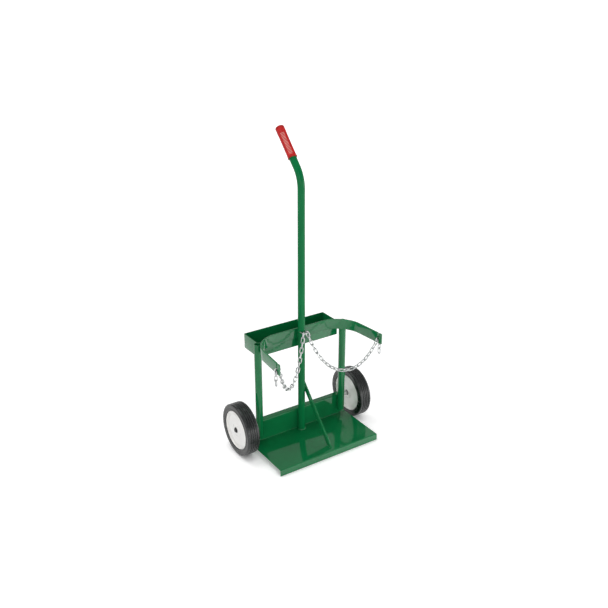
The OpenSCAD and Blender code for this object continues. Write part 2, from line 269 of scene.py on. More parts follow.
def darkSteel(name):
    # oiled dark steel with turning marks: sin(turning * x)
    d, f = steelLook, Finish(name)
    cloud = f.noise(d["cloudScale"], 4.0)
    marks = f.make("ShaderNodeMath", {"operation": "SINE"}, {0: f.axis("X") * d["turning"]})
    return f.dress({"Base Color": f.blend(cloud.band(0.3, 0.75), linear(d["dark"]), linear(d["light"])),
                    "Metallic": 0.9, "Roughness": cloud * 0.2 + 0.32, "Normal": f.bump(marks, d["turningDepth"])})


# roughness, specular level and coat of each green: sheet and flat bar, mast, posts, weld beads
green = greenPaint("greenEnamel", 0.05, 0.5, 0.2)
greenMast = greenPaint("greenEnamelMast", 0.1, 0.09, 0.03)
greenTube = greenPaint("greenEnamelTube", 0.08, 0.3, 0.1)
greenWeld = greenPaint("greenEnamelWeld", 0.24, 0.5, 0.2)
zinc, steel = zincPlate("brightZinc"), darkSteel("oiledSteel")
print("trolley: shared finishes made")

# base plate: sheet section carried along the fold line, the floor wider than the upright face
baseSheet = {"floorWidth": 438.0, "faceWidth": 400.0, "depth": 210.0, "sheet": 3.0, "lip": 25.0, "fold": 1.5,
             "faceTop": 109.0, "returnDepth": 24.0, "edge": 0.7, "tab": 16.0, "tabLap": 2.0, "relief": 1.5,
             "rowGap": 0.01}


def alongSheet(line, width, d, x=0.0):
    # line holds (y, z) of the sheet's middle; the section lies across X and along the line's normal
    step = unit(np.gradient(line, axis=0))
    path = np.stack([0 * line[:, 0] + x, line[:, 0] + faceY, line[:, 1]], 1)
    normal = np.stack([0 * line[:, 0], -step[:, 1], step[:, 0]], 1)
    return sweep(path, xAxis, normal, roundRect(width, d["sheet"], d["edge"]))


def makeBase(d):
    # middle lines as (y from the face, z): straights joined by quarter arcs, rowGap between an arc and a straight
    t, out, gap = d["sheet"] / 2, d["fold"] + d["sheet"], d["rowGap"]
    r, front, floorZ, topZ = d["fold"] + t, -d["depth"], d["lip"] - t, d["faceTop"] - t
    floor = np.concatenate([[[front + t, 0.0], [front + t, d["lip"] - out - gap]],
                            arcOf((front + out, d["lip"] - out), r, 180, 90),
                            [[front + out + gap, floorZ], [-d["fold"], floorZ]]])
    face = np.concatenate([[[-d["fold"] - gap, floorZ]],
                           arcOf((-d["fold"], d["lip"] + d["fold"]), r, -90, 0),
                           [[t, d["lip"] + d["fold"] + gap], [t, d["faceTop"] - out - gap]],
                           arcOf((out, d["faceTop"] - out), r, 180, 90),
                           [[out + gap, topZ], [d["returnDepth"], topZ]]])
    inner, outer = d["faceWidth"] / 2 + d["relief"], d["floorWidth"] / 2
    tab = np.stack([np.linspace(-d["fold"] - d["tabLap"], d["tab"], 4), np.full(4, floorZ)], 1)
    tabs = [alongSheet(tab, outer - inner, d, s * (inner + outer) / 2) for s in (-1, 1)]  # strips behind the face
    return [alongSheet(floor, d["floorWidth"], d), alongSheet(face, d["faceWidth"], d)] + tabs


pieceOf("basePlateSheet", makeBase(baseSheet), "frame", green, "base_plate")

# mast: circle carried up the upright, round the bend and along the handle
mastPipe = {"diameter": 27.0, "bendStart": 982.0, "bendRadius": 107.0, "bendDeg": 43.0, "handle": 157.0,
            "sides": 56, "rows": (40, 30, 12), "rowGap": 0.5}


def mastLine(d):
    # centre line: upright, arc of bendRadius in the Y-Z plane, straight handle; side is square to it there
    upRows, bendRows, handleRows = d["rows"]
    a = np.radians(np.linspace(0, d["bendDeg"], bendRows))
    arc = np.stack([0 * a, mastY + d["bendRadius"] * (1 - np.cos(a)),
                    d["bendStart"] + d["bendRadius"] * np.sin(a)], 1)
    lean = np.array([0, math.sin(a[-1]), math.cos(a[-1])])
    up = mastY * yAxis + np.linspace(floorTop, d["bendStart"] - d["rowGap"], upRows)[:, None] * zAxis
    out = arc[-1] + np.linspace(d["rowGap"], d["handle"], handleRows)[:, None] * lean
    tilt = np.concatenate([np.zeros(upRows), a, np.full(handleRows, a[-1])])
    side = np.stack([0 * tilt, np.cos(tilt), -np.sin(tilt)], 1)
    return np.concatenate([up, arc, out]), side, arc[-1], lean


mastPath, mastSide, handleStart, handleAxis = mastLine(mastPipe)
mastShell = sweep(mastPath, xAxis, mastSide, ringOf(mastPipe["diameter"] / 2, mastPipe["sides"]))
pieceOf("mastPipe", [mastShell], "frame", greenMast, "mast_tube")

# grip: vinyl sleeve turned about the handle, four ribbed panels pressed into it; it sits turned to the left
gripSleeve = {"radius": 16.5, "bore": 13.5, "length": 126.0, "cap": 4.0, "round": 6.0, "crown": 3.0,
              "turnDeg": 32.0, "sides": 128, "lip": 0.8, "lipEdge": 0.6, "lipTop": 2.2, "lipFoot": 3.2,
              "wallLow": 4.0, "wallTop": 1.0, "wallRows": 240,
              "ribPitch": 5.2, "ribDepth": 1.1, "ribFloor": 0.35, "panelHalfDeg": 21.0, "panelStart": 10.0,
              "panelEnd": 98.0, "ease": 3.0, "easeDeg": 5.0, "ringAt": 105.0, "ringWide": 0.8, "ringDepth": 0.5}
# the lighter tone and the glint settings paint a highlight on the rib tops that face the front
vinylLook = {"deep": "b3191a", "bright": "c42522", "lighterTone": "f4c0b4", "glintShare": 0.7, "end": "8a1512",
             "endShare": 0.4, "mottleScale": 40.0, "skinScale": 700.0, "skinDepth": 0.00008,
             "glintFacing": (14.7, 15.3), "glintStart": (9.0, 12.0), "glintStop": (96.0, 99.0),
             "endRun": (112.0, 118.0)}
gripTip = mastPipe["handle"] + gripSleeve["cap"]
gripLow = gripTip - gripSleeve["length"]
gripTurn = math.radians(gripSleeve["turnDeg"])
gripFront = -np.cross(handleAxis, xAxis) * math.cos(gripTurn) - xAxis * math.sin(gripTurn)


def redSleeve(name):
    # soft vinyl: slightly mottled, satin, fine skin, a painted highlight on the cross ribs' tops in the strip
    # facing the front, darker smooth end
    d, f = vinylLook, Finish(name)
    mottle = f.noise(d["mottleScale"], 4.0)
    up = f.dot(handleAxis) * (1 / mm) - float(handleStart @ handleAxis) - gripLow  # millimetres up the sleeve
    front = f.dot(gripFront) * (1 / mm) - float(handleStart @ gripFront)
    # painted highlight: paler rib tops only in the strip of the sleeve that faces the front
    frontGlint = front.band(*d["glintFacing"]) * up.band(*d["glintStart"]) * (1.0 - up.band(*d["glintStop"]))
    rib = f.make("ShaderNodeMath", {"operation": "COSINE"}, {0: up * (2 * math.pi / gripSleeve["ribPitch"])})
    colour = f.blend(mottle.band(0.3, 0.7), linear(d["deep"]), linear(d["bright"]))
    colour = f.blend(frontGlint * rib.band(0.0, 0.9) * d["glintShare"], colour, linear(d["lighterTone"]))
    colour = f.blend(up.band(*d["endRun"]) * d["endShare"], colour, linear(d["end"]))
    return f.dress({"Base Color": colour, "Roughness": mottle * 0.12 + 0.3, "Specular IOR Level": 0.25,
                    "Normal": f.bump(f.noise(d["skinScale"]), d["skinDepth"])})


def makeGrip(d):
    # outline (r, z) up the handle: lower lip, straight wall, rounded closed end, turned about the handle
    lipR, low, end = d["radius"] + d["lip"], gripLow, gripTip - d["round"]
    wall = np.linspace(low + d["wallLow"], end - d["wallTop"], d["wallRows"])
    outer = np.concatenate([[[d["bore"], low], [lipR - d["lipEdge"], low], [lipR, low + d["lipEdge"]],
                             [lipR, low + d["lipTop"]], [d["radius"], low + d["lipFoot"]]],
                            np.stack([np.full(wall.size, d["radius"]), wall], 1),
                            arcOf((d["radius"] - d["round"], end), d["round"], 0, 88, 10),
                            [[d["crown"], gripTip]]])

    def panels(outline, a):
        # four panels of ribs sunk by depth * (floor + (1 - floor) * (1 - cos(2 pi z / pitch)) / 2), one fine ring
        z = outline[:, 1] - low
        ends = np.clip((z - d["panelStart"]) / d["ease"], 0, 1) * np.clip((d["panelEnd"] - z) / d["ease"], 0, 1)
        swing = np.degrees(np.abs((a + np.pi / 4) % (np.pi / 2) - np.pi / 4))
        sides = np.clip((d["panelHalfDeg"] - swing) / d["easeDeg"], 0, 1)
        ribs = d["ribFloor"] + (1 - d["ribFloor"]) * (0.5 - 0.5 * np.cos(2 * np.pi * z / d["ribPitch"]))
        ring = d["ringDepth"] * np.exp(-((z - d["ringAt"]) / d["ringWide"]) ** 2)
        onWall = (outline[:, 0] > d["radius"] - 0.01) * (z > d["wallLow"])
        return -d["ribDepth"] * (ends * ribs * onWall)[:, None] * sides[None, :] - (ring * onWall)[:, None]

    return [revolve(outer, handleStart, handleAxis, gripFront, d["sides"], True, panels)]


pieceOf("gripSleeve", makeGrip(gripSleeve), "frame", redSleeve("redVinyl"), "handle_grip")

# posts: open tubes, their wall outline turned about the post's axis
postPipe = {"x": 188.0, "radius": 13.5, "wall": 2.5, "foot": 52.0, "top": 441.0, "edge": 0.6, "sides": 56}


def makePost(d, side):
    # outline (r, z): the wall's four corners, rounded
    inner = d["radius"] - d["wall"]
    ring = fillet([(d["radius"], d["foot"]), (d["radius"], d["top"]), (inner, d["top"]), (inner, d["foot"])],
                  [d["edge"]] * 4)
    return [revolve(ring, np.array([side * d["x"], mastY, 0]), zAxis, xAxis, d["sides"])]


pieceOf("leftPostPipe", makePost(postPipe, -1), "frame", greenTube, "left_post")
pieceOf("rightPostPipe", makePost(postPipe, 1), "frame", greenTube, "right_post")

# tray: rings up the outside and down the inside; fold is (inset, height), rim is (inset, depth below the top)
trayBox = {"width": 356.0, "depth": 98.0, "low": 376.0, "top": 434.0, "sheet": 2.0, "corner": 3.0,
           "sharpest": 0.6, "back": 6.0, "floorInset": 12.0, "wallRow": 30.0,
           "fold": ((2.5, 0.0), (1.2, 0.25), (0.35, 1.0), (0.0, 2.2)),
           "rim": ((0.0, 1.1), (0.15, 0.3), (0.6, 0.0))}


def makeTray(d):
    # ring(i) = rounded rectangle shrunk by inset(i) at height z(i)
    t, fold = d["sheet"], np.array(d["fold"])
    rim = np.array(d["rim"]) * (1, -1) + (0, d["top"] - d["low"])
    outside = np.concatenate([[[d["floorInset"], 0]], fold, [[0, d["wallRow"]]], rim])
    inside = np.concatenate([rim[::-1] * (-1, 1) + (t, 0), fold[::-1] + t, [[d["floorInset"] + t, t]]])
    inset, z = np.concatenate([outside, inside]).T
    rings = np.stack([roundRect(d["width"] - 2 * i, d["depth"] - 2 * i, max(d["corner"] - i, d["sharpest"]), 6)
                      for i in inset])
    middle = np.array([0, faceY + d["back"] + d["depth"] / 2])
    high = np.repeat((z + d["low"])[:, None, None], rings.shape[1], 1)
    return [outward(skin(np.concatenate([rings + middle, high], 2), caps=True))]


pieceOf("trayBox", makeTray(trayBox), "frame", green, "tool_tray")

# strap: flat bar on edge along its U line, its top edge let down at the two slots
strapBar = {"thick": 6.0, "high": 40.0, "top": 452.0, "bend": 107.0, "bendX": 105.1509, "bendY": faceY - 101.0,
            "flareDeg": 5.0, "arm": 121.0, "slotWide": 6.0, "slotDeep": 32.0, "slotInset": 16.0, "slotCut": 0.02,
            "edge": 0.9, "armRows": (0.3, 30.0, 60.0), "bendRows": 40, "barRows": (0.98, 0.5, 0.0)}
strapFlare = math.radians(strapBar["flareDeg"])
armOut = np.array([math.cos(strapFlare), math.sin(strapFlare), 0])  # outward across the right arm
armAlong = np.array([math.sin(strapFlare), -math.cos(strapFlare), 0])  # along it to its end


def makeStrap(d):
    # point(s, t) = line(s) + across(t) * outward(s), height(t) lowered at the top by drop(s)
    r, slot = d["bend"] - d["thick"] / 2, d["arm"] - d["slotInset"]
    w, cut = d["slotWide"] / 2, d["slotCut"]
    bySlot = slot + np.array([-w - 2, -w - cut, -w + cut, 0, w - cut, w + cut, w + 2])  # close rows at the slot
    ahead = np.concatenate([d["armRows"], bySlot, [d["arm"]]])  # along the arm from the bend
    centre = np.array([d["bendX"], d["bendY"], 0])
    a = np.linspace(strapFlare, np.pi / 2, d["bendRows"])
    spoke = np.stack([np.cos(a), np.sin(a), 0 * a], 1)
    bar = np.outer(d["barRows"], d["bendX"] * xAxis) + (d["bendY"] + r) * yAxis
    half = np.concatenate([(centre + r * armOut + ahead[:, None] * armAlong)[::-1], centre + r * spoke, bar])
    outs = np.concatenate([np.tile(armOut, (ahead.size, 1)), spoke, np.tile(yAxis, (len(bar), 1))])
    drop = np.zeros(len(half))
    drop[:ahead.size] = np.where(np.abs(ahead - slot) < w, d["slotDeep"], 0.0)[::-1]
    line, outs = np.concatenate([half, half[-2::-1] * flipX]), np.concatenate([outs, outs[-2::-1] * flipX])
    drop = np.concatenate([drop, drop[-2::-1]])
    section = roundRect(d["thick"], d["high"], d["edge"])
    grid = line[:, None] + section[None, :, :1] * outs[:, None]
    high = section[:, 1] + d["top"] - d["high"] / 2
    grid[:, :, 2] = high[None, :] - drop[:, None] * (section[:, 1] > 0)[None, :]
    return [outward(skin(grid, caps=True))]


pieceOf("strapBar", makeStrap(strapBar), "frame", green, "cylinder_strap")

# brace: flat bar on edge, lying against the right flank of the mast, its foot cut level and its head upright
braceBar = {"wide": 20.0, "thick": 6.0, "head": 229.0, "lap": 8.0, "inset": 14.0, "x": 16.5, "edge": 0.8,
            "rows": 24}
braceFootY = faceY - baseSheet["depth"] + braceBar["inset"]


def makeBrace(d):
    # point(s, t) runs straight from the foot's cut to the head's cut
    headY = mastY + d["lap"]
    lean = math.atan2(headY - braceFootY, d["head"] - floorTop)
    foot, head = np.array([d["x"], braceFootY, floorTop]), np.array([d["x"], headY, d["head"]])
    footCut, headCut = d["wide"] / math.cos(lean) * yAxis, -d["wide"] / math.sin(lean) * zAxis
    share = np.linspace(0, 1, d["rows"])[:, None]
    cut = footCut + share * (headCut - footCut)
    section = roundRect(d["thick"], d["wide"], d["edge"]) / np.array([1, d["wide"]])
    return [sweep(foot + share * (head - foot) + cut / 2, xAxis, cut, section)]


pieceOf("braceBar", makeBrace(braceBar), "frame", green, "brace_bar")
print("trolley: frame pieces made")

# axle and what is pushed on it, all turned about X with outlines of (radius, distance from the middle)
axleRod = {"radius": 6.0, "end": 279.4, "chamfer": 1.2, "centre": 1.0, "rows": 30, "sides": 40}
spacerTube = {"inner": 6.06, "outer": 9.0, "start": 200.0, "end": 232.6, "edge": 0.5, "sides": 48}
axleCap = {"radius": 8.5, "start": 277.4, "thick": 4.0, "bore": 6.0, "edge": 0.4, "sides": 48,
           "dimple": ((4.2, 0.0), (3.8, 0.5), (1.0, 0.6))}
capLook = {"dark": "0a0a0b", "light": "141516", "cloudScale": 120.0, "grainScale": 600.0, "grainDepth": 0.00006}


def makeAxle(d):
    # straight rod with a chamfer at each end
    e, r, c = d["end"], d["radius"], d["chamfer"]
    x = np.concatenate([[-e, -e, c - e], np.linspace(2 * c - e, e - 2 * c, d["rows"]), [e - c, e, e]])
    radius = np.concatenate([[d["centre"], r - c, r], np.full(d["rows"], r), [r, r - c, d["centre"]]])
    return [revolve(np.stack([radius, x], 1), axleAt, xAxis, yAxis, d["sides"], True)]


def sleeveOn(d, side):
    # tube wall between two radii along the axle, on one side
    corners = [(d["inner"], d["start"]), (d["outer"], d["start"]), (d["outer"], d["end"]), (d["inner"], d["end"])]
    return revolve(fillet(corners, [d["edge"]] * 4), axleAt, side * xAxis, yAxis, d["sides"])


def makeCap(d, side):
    # quarter arc of half the thickness at the rim, flat top with a dimple of (radius, depth)
    r, top, half = d["radius"], d["start"] + d["thick"], d["thick"] / 2
    outline = np.concatenate([[[d["bore"], d["start"]], [r - d["edge"], d["start"]], [r, d["start"] + d["edge"]]],
                              arcOf((r - half, top - half), half, 0, 85, 8),
                              np.array(d["dimple"]) * (1, -1) + (0, top)])
    return revolve(outline, axleAt, side * xAxis, yAxis, d["sides"], True)


def blackPlastic(name):
    # moulded black plastic, fine grain
    d, f = capLook, Finish(name)
    grain = f.noise(d["grainScale"], 2.0)
    colour = f.blend(f.noise(d["cloudScale"]).band(0.4, 0.7), linear(d["dark"]), linear(d["light"]))
    return f.dress({"Base Color": colour, "Roughness": grain * 0.15 + 0.35,
                    "Normal": f.bump(grain, d["grainDepth"])})


pieceOf("axleRod", makeAxle(axleRod), "frame", steel, "axle")
pieceOf("spacerTubes", [sleeveOn(spacerTube, s) for s in (-1, 1)], "frame", zinc, "axle_spacers")
pieceOf("axleCaps", [makeCap(axleCap, s) for s in (-1, 1)], "frame", blackPlastic("blackCap"),
        "axle_caps")

# wheel: tyre, two pressed discs and a hub tube, all turned about the axle
tyreRing = {"middle": 255.0, "radius": 100.0, "rim": 74.0, "half": 25.0, "shoulder": 9.0, "seat": 3.0,
            "seatRound": 1.5, "lineIn": 82.0, "lineOut": 85.2, "lineSlope": 0.6, "lineDeep": 0.8,
            "lineRound": 0.4, "grooveHalf": 1.5, "grooveDeep": 2.5, "groovePitch": 8.0,
            "grooves": (-1.5, -0.5, 0.5, 1.5), "grooveTop": 0.5, "grooveLow": 0.6, "sides": 144}
discPress = {"rim": 74.0, "hub": 11.0, "web": 19.0, "sheet": 2.0, "boss": 26.0, "bossHigh": 3.0, "bossSlope": 6.0,
             "step": 58.0, "stepWide": 5.0, "stepDeep": 1.4, "edge": 23.0, "split": 0.4, "lean": 0.6,
             "leanBack": 0.4, "backIn": 1.0, "sides": 112,
             "rounds": (0.4, 2.5, 2.5, 2.5, 2.5, 1.0, 0.95, 0.95, 0.3, 0.3, 0.6, 2, 2, 2, 2, 0.4)}
hubTube = {"inner": 6.06, "outer": 11.0, "start": 233.0, "end": 277.0, "edge": 0.6, "sides": 48}
rubberLook = {"black": "0a0b0b", "dusty": "1d2020", "worn": "3f4544", "lighterTone": "59605d", "groove": "060707",
              "dustScale": 22.0, "streakScale": 30.0, "streakStretch": (5.0, 1.0, 1.0), "grainScale": 500.0,
              "grainDepth": 0.00008, "crown": (-1.5, -0.2), "grooveRise": (-2.6, -1.6),
              "grooveFloor": (-3.4, -2.8)}
creamLook = {"white": "f8f7f4", "shade": "ebe9e5", "streak": "bfbdb8", "driftScale": 14.0, "streakScale": 60.0,
             "peelScale": 380.0, "peelDepth": 0.00005}


def tyreRubber(name):
    # black rubber: dusty patches, greyer crown, rubbed streaks, painted shade in the grooves, fine moulded grain
    d, f = rubberLook, Finish(name)
    fromAxle = f.vector("SUBTRACT", f.vector("MULTIPLY", f.coords, (0, 1, 1)), axleAt * mm)
    rise = f.vector("LENGTH", fromAxle, out="Value") * (1 / mm) - tyreRing["radius"]  # millimetres past the tread
    dust = f.noise(d["dustScale"], 5.0).band(0.45, 0.75) * 0.3
    streak = f.noise(d["streakScale"], 4.0, f.vector("MULTIPLY", f.coords, d["streakStretch"]))
    # painted shade: the tread grooves are darkened in the colour
    groove = (1.0 - rise.band(*d["grooveRise"])) * rise.band(*d["grooveFloor"])
    colour = f.blend(dust, linear(d["black"]), linear(d["dusty"]))
    colour = f.blend(rise.band(*d["crown"]) * 0.3, colour, linear(d["worn"]))
    colour = f.blend(streak.band(0.52, 0.7) * 0.35, colour, linear(d["lighterTone"]))
    colour = f.blend(groove * 0.6, colour, linear(d["groove"]))
    return f.dress({"Base Color": colour, "Roughness": dust * 0.2 + 0.27, "Specular IOR Level": 0.55,
                    "Normal": f.bump(f.noise(d["grainScale"]), d["grainDepth"])})


def discPaint(name):
    # off-white baked enamel with a little grey in the hollows of its noise
    d, f = creamLook, Finish(name)
    drift = f.noise(d["driftScale"], 5.0)
    colour = f.blend(drift.band(0.4, 0.75) * 0.5, linear(d["white"]), linear(d["shade"]))
    colour = f.blend(f.noise(d["streakScale"], 4.0).band(0.6, 0.72) * 0.15, colour, linear(d["streak"]))
    return f.dress({"Base Color": colour, "Roughness": drift * 0.15 + 0.3, "Coat Weight": 0.9,
                    "Coat Roughness": 0.12, "Normal": f.bump(f.noise(d["peelScale"]), d["peelDepth"])})


def makeTyre(d, side):
    # outline: rim seat, side with a fine sunk line, shoulder, grooved tread, and the same side mirrored
    r, h, n = d["radius"], d["half"], len(d["grooves"])
    inR, outR, slope, sunk = d["lineIn"], d["lineOut"], d["lineSlope"], d["lineDeep"] - h
    flank = np.array([(d["rim"], d["seat"] - h), (d["rim"] + d["seat"], -h), (inR, -h), (inR + slope, sunk),
                      (outR - slope, sunk), (outR, -h), (r, -h)])
    flankRound = [d["seatRound"]] * 2 + [d["lineRound"]] * 4 + [d["shoulder"]]
    middle = np.repeat(np.array(d["grooves"]) * d["groovePitch"], 4)
    tread = np.stack([r - d["grooveDeep"] * np.tile([0, 1, 1, 0], n),
                      middle + d["grooveHalf"] * np.tile([-1, -1, 1, 1], n)], 1)
    treadRound = [d["grooveTop"], d["grooveLow"], d["grooveLow"], d["grooveTop"]] * n
    corners = np.concatenate([flank, tread, flank[::-1] * (1, -1)])
    ring = fillet(corners, flankRound + treadRound + flankRound[::-1], 6) + (0, d["middle"])
    return [revolve(ring, axleAt, side * xAxis, yAxis, d["sides"])]


def makeDisc(d, side, out):
    # outline: hub, boss, web, sunk step and rim wall, then back a sheet's thickness behind; out is 1 or -1
    t, web, rim, wall = d["sheet"], d["web"], d["rim"], d["rim"] - d["sheet"]
    top, sunk, back = web + d["bossHigh"], web - d["stepDeep"], d["backIn"]
    face = [(d["hub"], top), (d["boss"] - d["bossSlope"], top), (d["boss"], web), (d["step"], web),
            (d["step"] + d["stepWide"], sunk)]
    edge = [(wall - d["lean"], sunk), (wall, d["edge"]), (rim, d["edge"]), (rim, d["split"]), (wall, d["split"]),
            (wall - d["leanBack"], sunk - t)]
    behind = np.array(face[:0:-1]) - (back, t)
    corners = np.concatenate([face, edge, behind, [(d["hub"], top - t)]])
    ring = fillet(corners, d["rounds"]) * (1, out) + (0, tyreRing["middle"])
    return [revolve(ring, axleAt, side * xAxis, yAxis, d["sides"])]


rubber, cream = tyreRubber("tyreRubber"), discPaint("creamEnamel")
for label, side in (("left", -1), ("right", 1)):
    wheel = label + "_wheel"
    pieceOf(label + "TyreRing", makeTyre(tyreRing, side), wheel, rubber, label + "_tyre")
    for half, out in (("Outer", 1), ("Inner", -1)):
        pieceOf(label + half + "DiscPress", makeDisc(discPress, side, out), wheel, cream,
                label + "_" + half.lower() + "_disc")
    pieceOf(label + "HubTube", [sleeveOn(hubTube, side)], wheel, steel, label + "_hub")
print("trolley: running gear made")

# chain: one link outline copied along a hanging curve and down two tails
chainLink = {"wire": 4.0, "inside": 19.0, "gap": 7.0, "play": 0.5, "hookPlay": 0.8, "count": 22, "tail": 3,
             "hookDeg": 76.0, "endRows": 16, "sideRows": 4, "sides": 10, "swell": 0.1, "swellLong": 1.6}
mastLoop = {"z": 445.0, "wire": 5.0, "radius": 10.5, "out": 6.0, "leg": 12.2, "legRows": 8, "ringRows": 28,
            "rowGap": 0.4, "sides": 16}
linkR = (chainLink["gap"] + chainLink["wire"]) / 2
linkSide = chainLink["inside"] + chainLink["wire"] - 2 * linkR
linkPitch = chainLink["inside"] - chainLink["play"]
loopY = mastY - mastPipe["diameter"] / 2 - mastLoop["out"]


def turns(a, axis):
    # stack of rotation matrices by the angles a (radians) about one axis
    a = np.atleast_1d(np.asarray(a, float))
    m = np.zeros((a.size, 3, 3))
    i, j = (axis + 1) % 3, (axis + 2) % 3
    m[:, axis, axis] = 1
    m[:, i, i] = m[:, j, j] = np.cos(a)
    m[:, j, i], m[:, i, j] = np.sin(a), -np.sin(a)
    return m


def turnX(a): return turns(a, 0)
def turnY(a): return turns(a, 1)
def turnZ(a): return turns(a, 2)


def linkGrid(d):
    # wire circle carried round a line of two half circles and two straights; a small weld swell on one straight
    a = np.linspace(-np.pi / 2, np.pi / 2, d["endRows"])
    flat = np.linspace(linkSide / 2, -linkSide / 2, d["sideRows"] + 2)[1:-1]
    end = np.stack([linkSide / 2 + linkR * np.cos(a), linkR * np.sin(a)], 1)
    top = np.stack([flat, 0 * flat + linkR], 1)
    line = np.concatenate([end, top, -end, -top])
    out = np.concatenate([np.stack([np.cos(a), np.sin(a)], 1), np.stack([0 * flat, 0 * flat + 1], 1)])
    out = np.concatenate([out, -out])
    swell = 1 + d["swell"] * np.exp(-(line[:, 0] / d["swellLong"]) ** 2) * (line[:, 1] > 0)
    ring = ringOf(d["wire"] / 2, d["sides"])
    line, out = np.pad(line, ((0, 0), (0, 1))), np.pad(out, ((0, 0), (0, 1)))
    return line[:, None] + swell[:, None, None] * (ring[None, :, :1] * out[:, None] + ring[None, :, 1:] * zAxis)


def strungLinks(turn, at):
    # point(n, s, t) = at(n) + turn(n) . link(s, t)
    grid = np.einsum("nij,stj->nsti", turn, linkGrid(chainLink)) + at[:, None, None, :]
    return [outward(skin(g, wrapU=True)) for g in grid]


def slotSeat(d):
    # middle of the right slot link, which stands on the slot's floor
    z = d["top"] - d["slotDeep"] + chainLink["wire"] / 2 + linkR
    centre = np.array([d["bendX"], d["bendY"], z])
    return centre + (d["bend"] - d["thick"] / 2) * armOut + (d["arm"] - d["slotInset"]) * armAlong


def drapeLine(d):
    # hanging curve z = c cosh(u / c) between the mast loop and the slot link, for the given number of links
    hook = math.radians(d["hookDeg"])
    end = slotSeat(strapBar) - (linkSide / 2 + linkR * math.cos(hook)) * armOut - linkR * math.sin(hook) * zAxis
    start = np.array([0, loopY, mastLoop["z"]])
    way = end - start
    heading = math.atan2(way[1], way[0])
    span, fall = math.hypot(way[0], way[1]) - mastLoop["radius"], way[2]
    first = d["inside"] / 2 - mastLoop["wire"] / 2 - d["hookPlay"]
    last = d["inside"] / 2 - d["wire"] / 2 - d["hookPlay"]
    run = first + (d["count"] - 1) * linkPitch + last
    ratio = math.sqrt(run ** 2 - fall ** 2) / span
    v = math.sqrt(6 * (ratio - 1))
    for _ in range(24):  # Newton steps for sinh(v) = ratio * v
        v -= (math.sinh(v) - ratio * v) / (math.cosh(v) - ratio)
    c = span / (2 * v)
    low = span / 2 - c * math.asinh(fall / (2 * c * math.sinh(v)))
    w = np.arcsinh((first + np.arange(d["count"]) * linkPitch) / c - math.sinh(low / c))
    u = mastLoop["radius"] + low + c * w
    z = c * (np.cosh(w) - math.cosh(low / c))
    at = start + u[:, None] * np.array([math.cos(heading), math.sin(heading), 0]) + z[:, None] * zAxis
    return heading, w, at


def makeDrape(d, side):
    # every other link rolled a quarter turn, the twist to the arm's flare shared out; the left is mirrored
    heading, w, at = drapeLine(d)
    n = np.arange(d["count"])
    roll = np.where(n % 2 == 0, np.pi / 2, 0) + (strapFlare - heading) * n / (d["count"] - 1)
    return mirrored(strungLinks(turnZ(heading) @ turnY(-np.arctan(np.sinh(w))) @ turnX(roll), at), side)


def makeTail(d, side):
    # links straight down from the slot link's outer end, a pitch apart
    hook = slotSeat(strapBar) + linkSide / 2 * armOut - linkR * zAxis
    n = np.arange(d["tail"])
    drop = d["inside"] / 2 - d["wire"] / 2 - d["play"] + n * linkPitch
    turn = turnZ(strapFlare) @ turnY(np.pi / 2) @ turnX(np.where(n % 2 == 0, 0, np.pi / 2))
    return mirrored(strungLinks(turn, hook - drop[:, None] * zAxis), side)


def makeSlotLinks():
    # one link on edge across each arm
    one = strungLinks(turnZ(strapFlare) @ turnX(np.pi / 2), slotSeat(strapBar)[None])
    return one + mirrored(one, -1)


def makeLoop(d):
    # wire circle carried down one leg, round the half ring and back up the other leg
    a = np.linspace(np.pi, 2 * np.pi, d["ringRows"])
    spoke = np.stack([np.cos(a), np.sin(a), 0 * a], 1)
    centre = np.array([0, loopY, d["z"]])
    left = centre - d["radius"] * xAxis + np.linspace(d["leg"], d["rowGap"], d["legRows"])[:, None] * yAxis
    line = np.concatenate([left, centre + d["radius"] * spoke, (left * flipX)[::-1]])
    out = np.concatenate([np.tile(-xAxis, (d["legRows"], 1)), spoke, np.tile(xAxis, (d["legRows"], 1))])
    return [sweep(line, out, zAxis, ringOf(d["wire"] / 2, d["sides"]))]


pieceOf("mastLoop", makeLoop(mastLoop), "frame", zinc, "chain_loop")
pieceOf("slotLinkPair", makeSlotLinks(), "frame", zinc, "slot_links")
for label, side in (("left", -1), ("right", 1)):
    drape, tail = makeDrape(chainLink, side), makeTail(chainLink, side)
    pieceOf(label + "DrapeLinks", drape, label + "_chain", zinc, label + "_drape")
    pieceOf(label + "TailLinks", tail, label + "_chain_end", zinc, label + "_tail")
print("trolley: chains made")

# welds: rippled beads where the frame's pieces meet; y counts from the face, size is a share of the radius
weldBead = {"radius": 2.2, "ripple": 0.16, "pitch": 3.0, "sides": 10, "row": 0.5}
weldAt = {"mastFoot": {"radius": 14.2, "fromDeg": 150, "toDeg": 390, "z": 25.8, "size": 1.15},
          "tack": {"x": (-36.0, -14.0), "y": -1.2, "z": 26.2},
          "tubes": {"aside": 7.0, "y": -1.4, "mastLow": 30.0, "postLow": 54.0, "top": 104.0},
          "strap": {"low": 414.0, "mastTop": 450.0, "postTop": 439.0, "off": 1.2, "aside": 6.0},
          "braceFoot": {"aside": 3.6, "run": (1.0, 26.0), "z": 25.6, "size": 0.8},
          "braceHead": {"x": 12.7, "aside": 6.0, "down": 9.0, "long": 24.0, "size": 0.7},
          "tray": {"x": (60.0, 150.0), "half": 14.0, "y": 5.2, "z": 411.6, "size": 0.8},
          "axle": {"x": (40.0, 165.0), "half": 14.0, "y": 15.6, "z": 105.2, "size": 0.9},
          "loop": {"radius": 2.6, "halfDeg": 80, "y": -21.3, "size": 0.55}}


